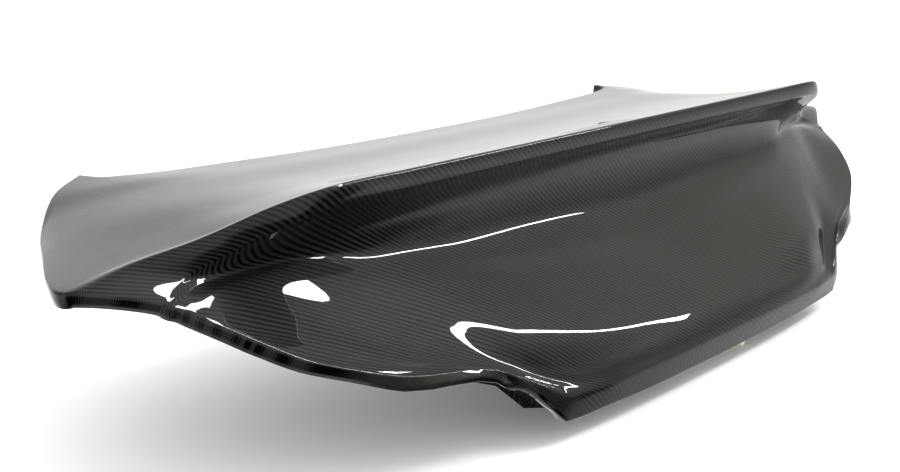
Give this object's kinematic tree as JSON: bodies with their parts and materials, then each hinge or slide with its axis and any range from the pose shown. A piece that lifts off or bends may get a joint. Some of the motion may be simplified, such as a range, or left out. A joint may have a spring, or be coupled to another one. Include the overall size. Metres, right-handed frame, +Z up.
{
  "type": "boot lid with integral duck-tail spoiler lip",
  "caption": "Carbon-fibre boot lid of a coupe with a full-width duck-tail spoiler lip moulded into its skin, hinge plates, inner latch and rubber stops.",
  "frame": {"origin": "centre of the pattern of four hinge holes, on the lower face of the two hinge plates", "axes": "+X to the lid's right-hand side seen from behind the car, -Y to the rear, +Z up; the lid lies as it does when shut"},
  "size_m": [1.4134, 0.5465, 0.2777],
  "materials": {
    "carbon_gloss": "twill carbon fibre under a clear gloss lacquer",
    "carbon_satin": "twill carbon fibre, satin, unlacquered",
    "foam": "rigid closed-cell foam",
    "zinc_steel": "zinc-plated pressed steel",
    "bright_steel": "turned steel",
    "yellow_zinc": "yellow-passivated steel",
    "spring_steel": "oiled spring wire",
    "black_plastic": "moulded, fine texture",
    "glow_plastic": "pale glow-in-the-dark plastic",
    "stop_rubber": "moulded rubber",
    "plug_rubber": "soft moulded rubber"
  },
  "bodies": {
    "lid": {"outer_skin": "carbon_gloss", "inner_panel": "carbon_satin", "lip_core": "foam", "hinge_plate_left": "zinc_steel", "hinge_plate_right": "zinc_steel", "hinge_nuts": "bright_steel", "latch_reinforcement": "zinc_steel", "latch_plate": "zinc_steel", "latch_cover": "black_plastic", "fork_pin": "bright_steel", "pawl_pin": "bright_steel", "fork_spring": "spring_steel", "pawl_spring": "spring_steel", "latch_bolts": "bright_steel", "handle_bezel": "black_plastic", "stop_socket_left": "black_plastic", "stop_socket_right": "black_plastic", "access_plugs": "plug_rubber"},
    "fork": {"latch_fork": "yellow_zinc"},
    "pawl": {"latch_pawl": "yellow_zinc"},
    "release": {"release_handle": "glow_plastic", "release_rod": "bright_steel"},
    "left_stop": {"stop_left": "stop_rubber"},
    "right_stop": {"stop_right": "stop_rubber"}
  },
  "joints": [
    {"name": "fork_pivot", "type": "hinge", "parent": "lid", "child": "fork", "pos_m": [-0.015, -0.3547, -0.1364], "axis": [0, -1, 0], "range_deg": [0, 65]},
    {"name": "release_slide", "type": "slide", "parent": "lid", "child": "release", "axis": [1, 0, 0], "range_m": [0, 0.01], "stiffness_N_per_m": 600, "springref_m": -0.004},
    {"name": "pawl_pivot", "type": "hinge", "parent": "lid", "child": "pawl", "pos_m": [0.021, -0.3547, -0.1364], "axis": [0, 1, 0], "range_deg": [0, 19.2]},
    {"name": "left_stop_height", "type": "slide", "parent": "lid", "child": "left_stop", "axis": [0, 0, 1], "range_m": [-0.004, 0.004]},
    {"name": "right_stop_height", "type": "slide", "parent": "lid", "child": "right_stop", "axis": [0, 0, 1], "range_m": [-0.004, 0.004]}
  ],
  "couplings": [
    {"joint": "pawl_pivot", "follows": "release_slide", "rad_per_m": 33.333}
  ]
}
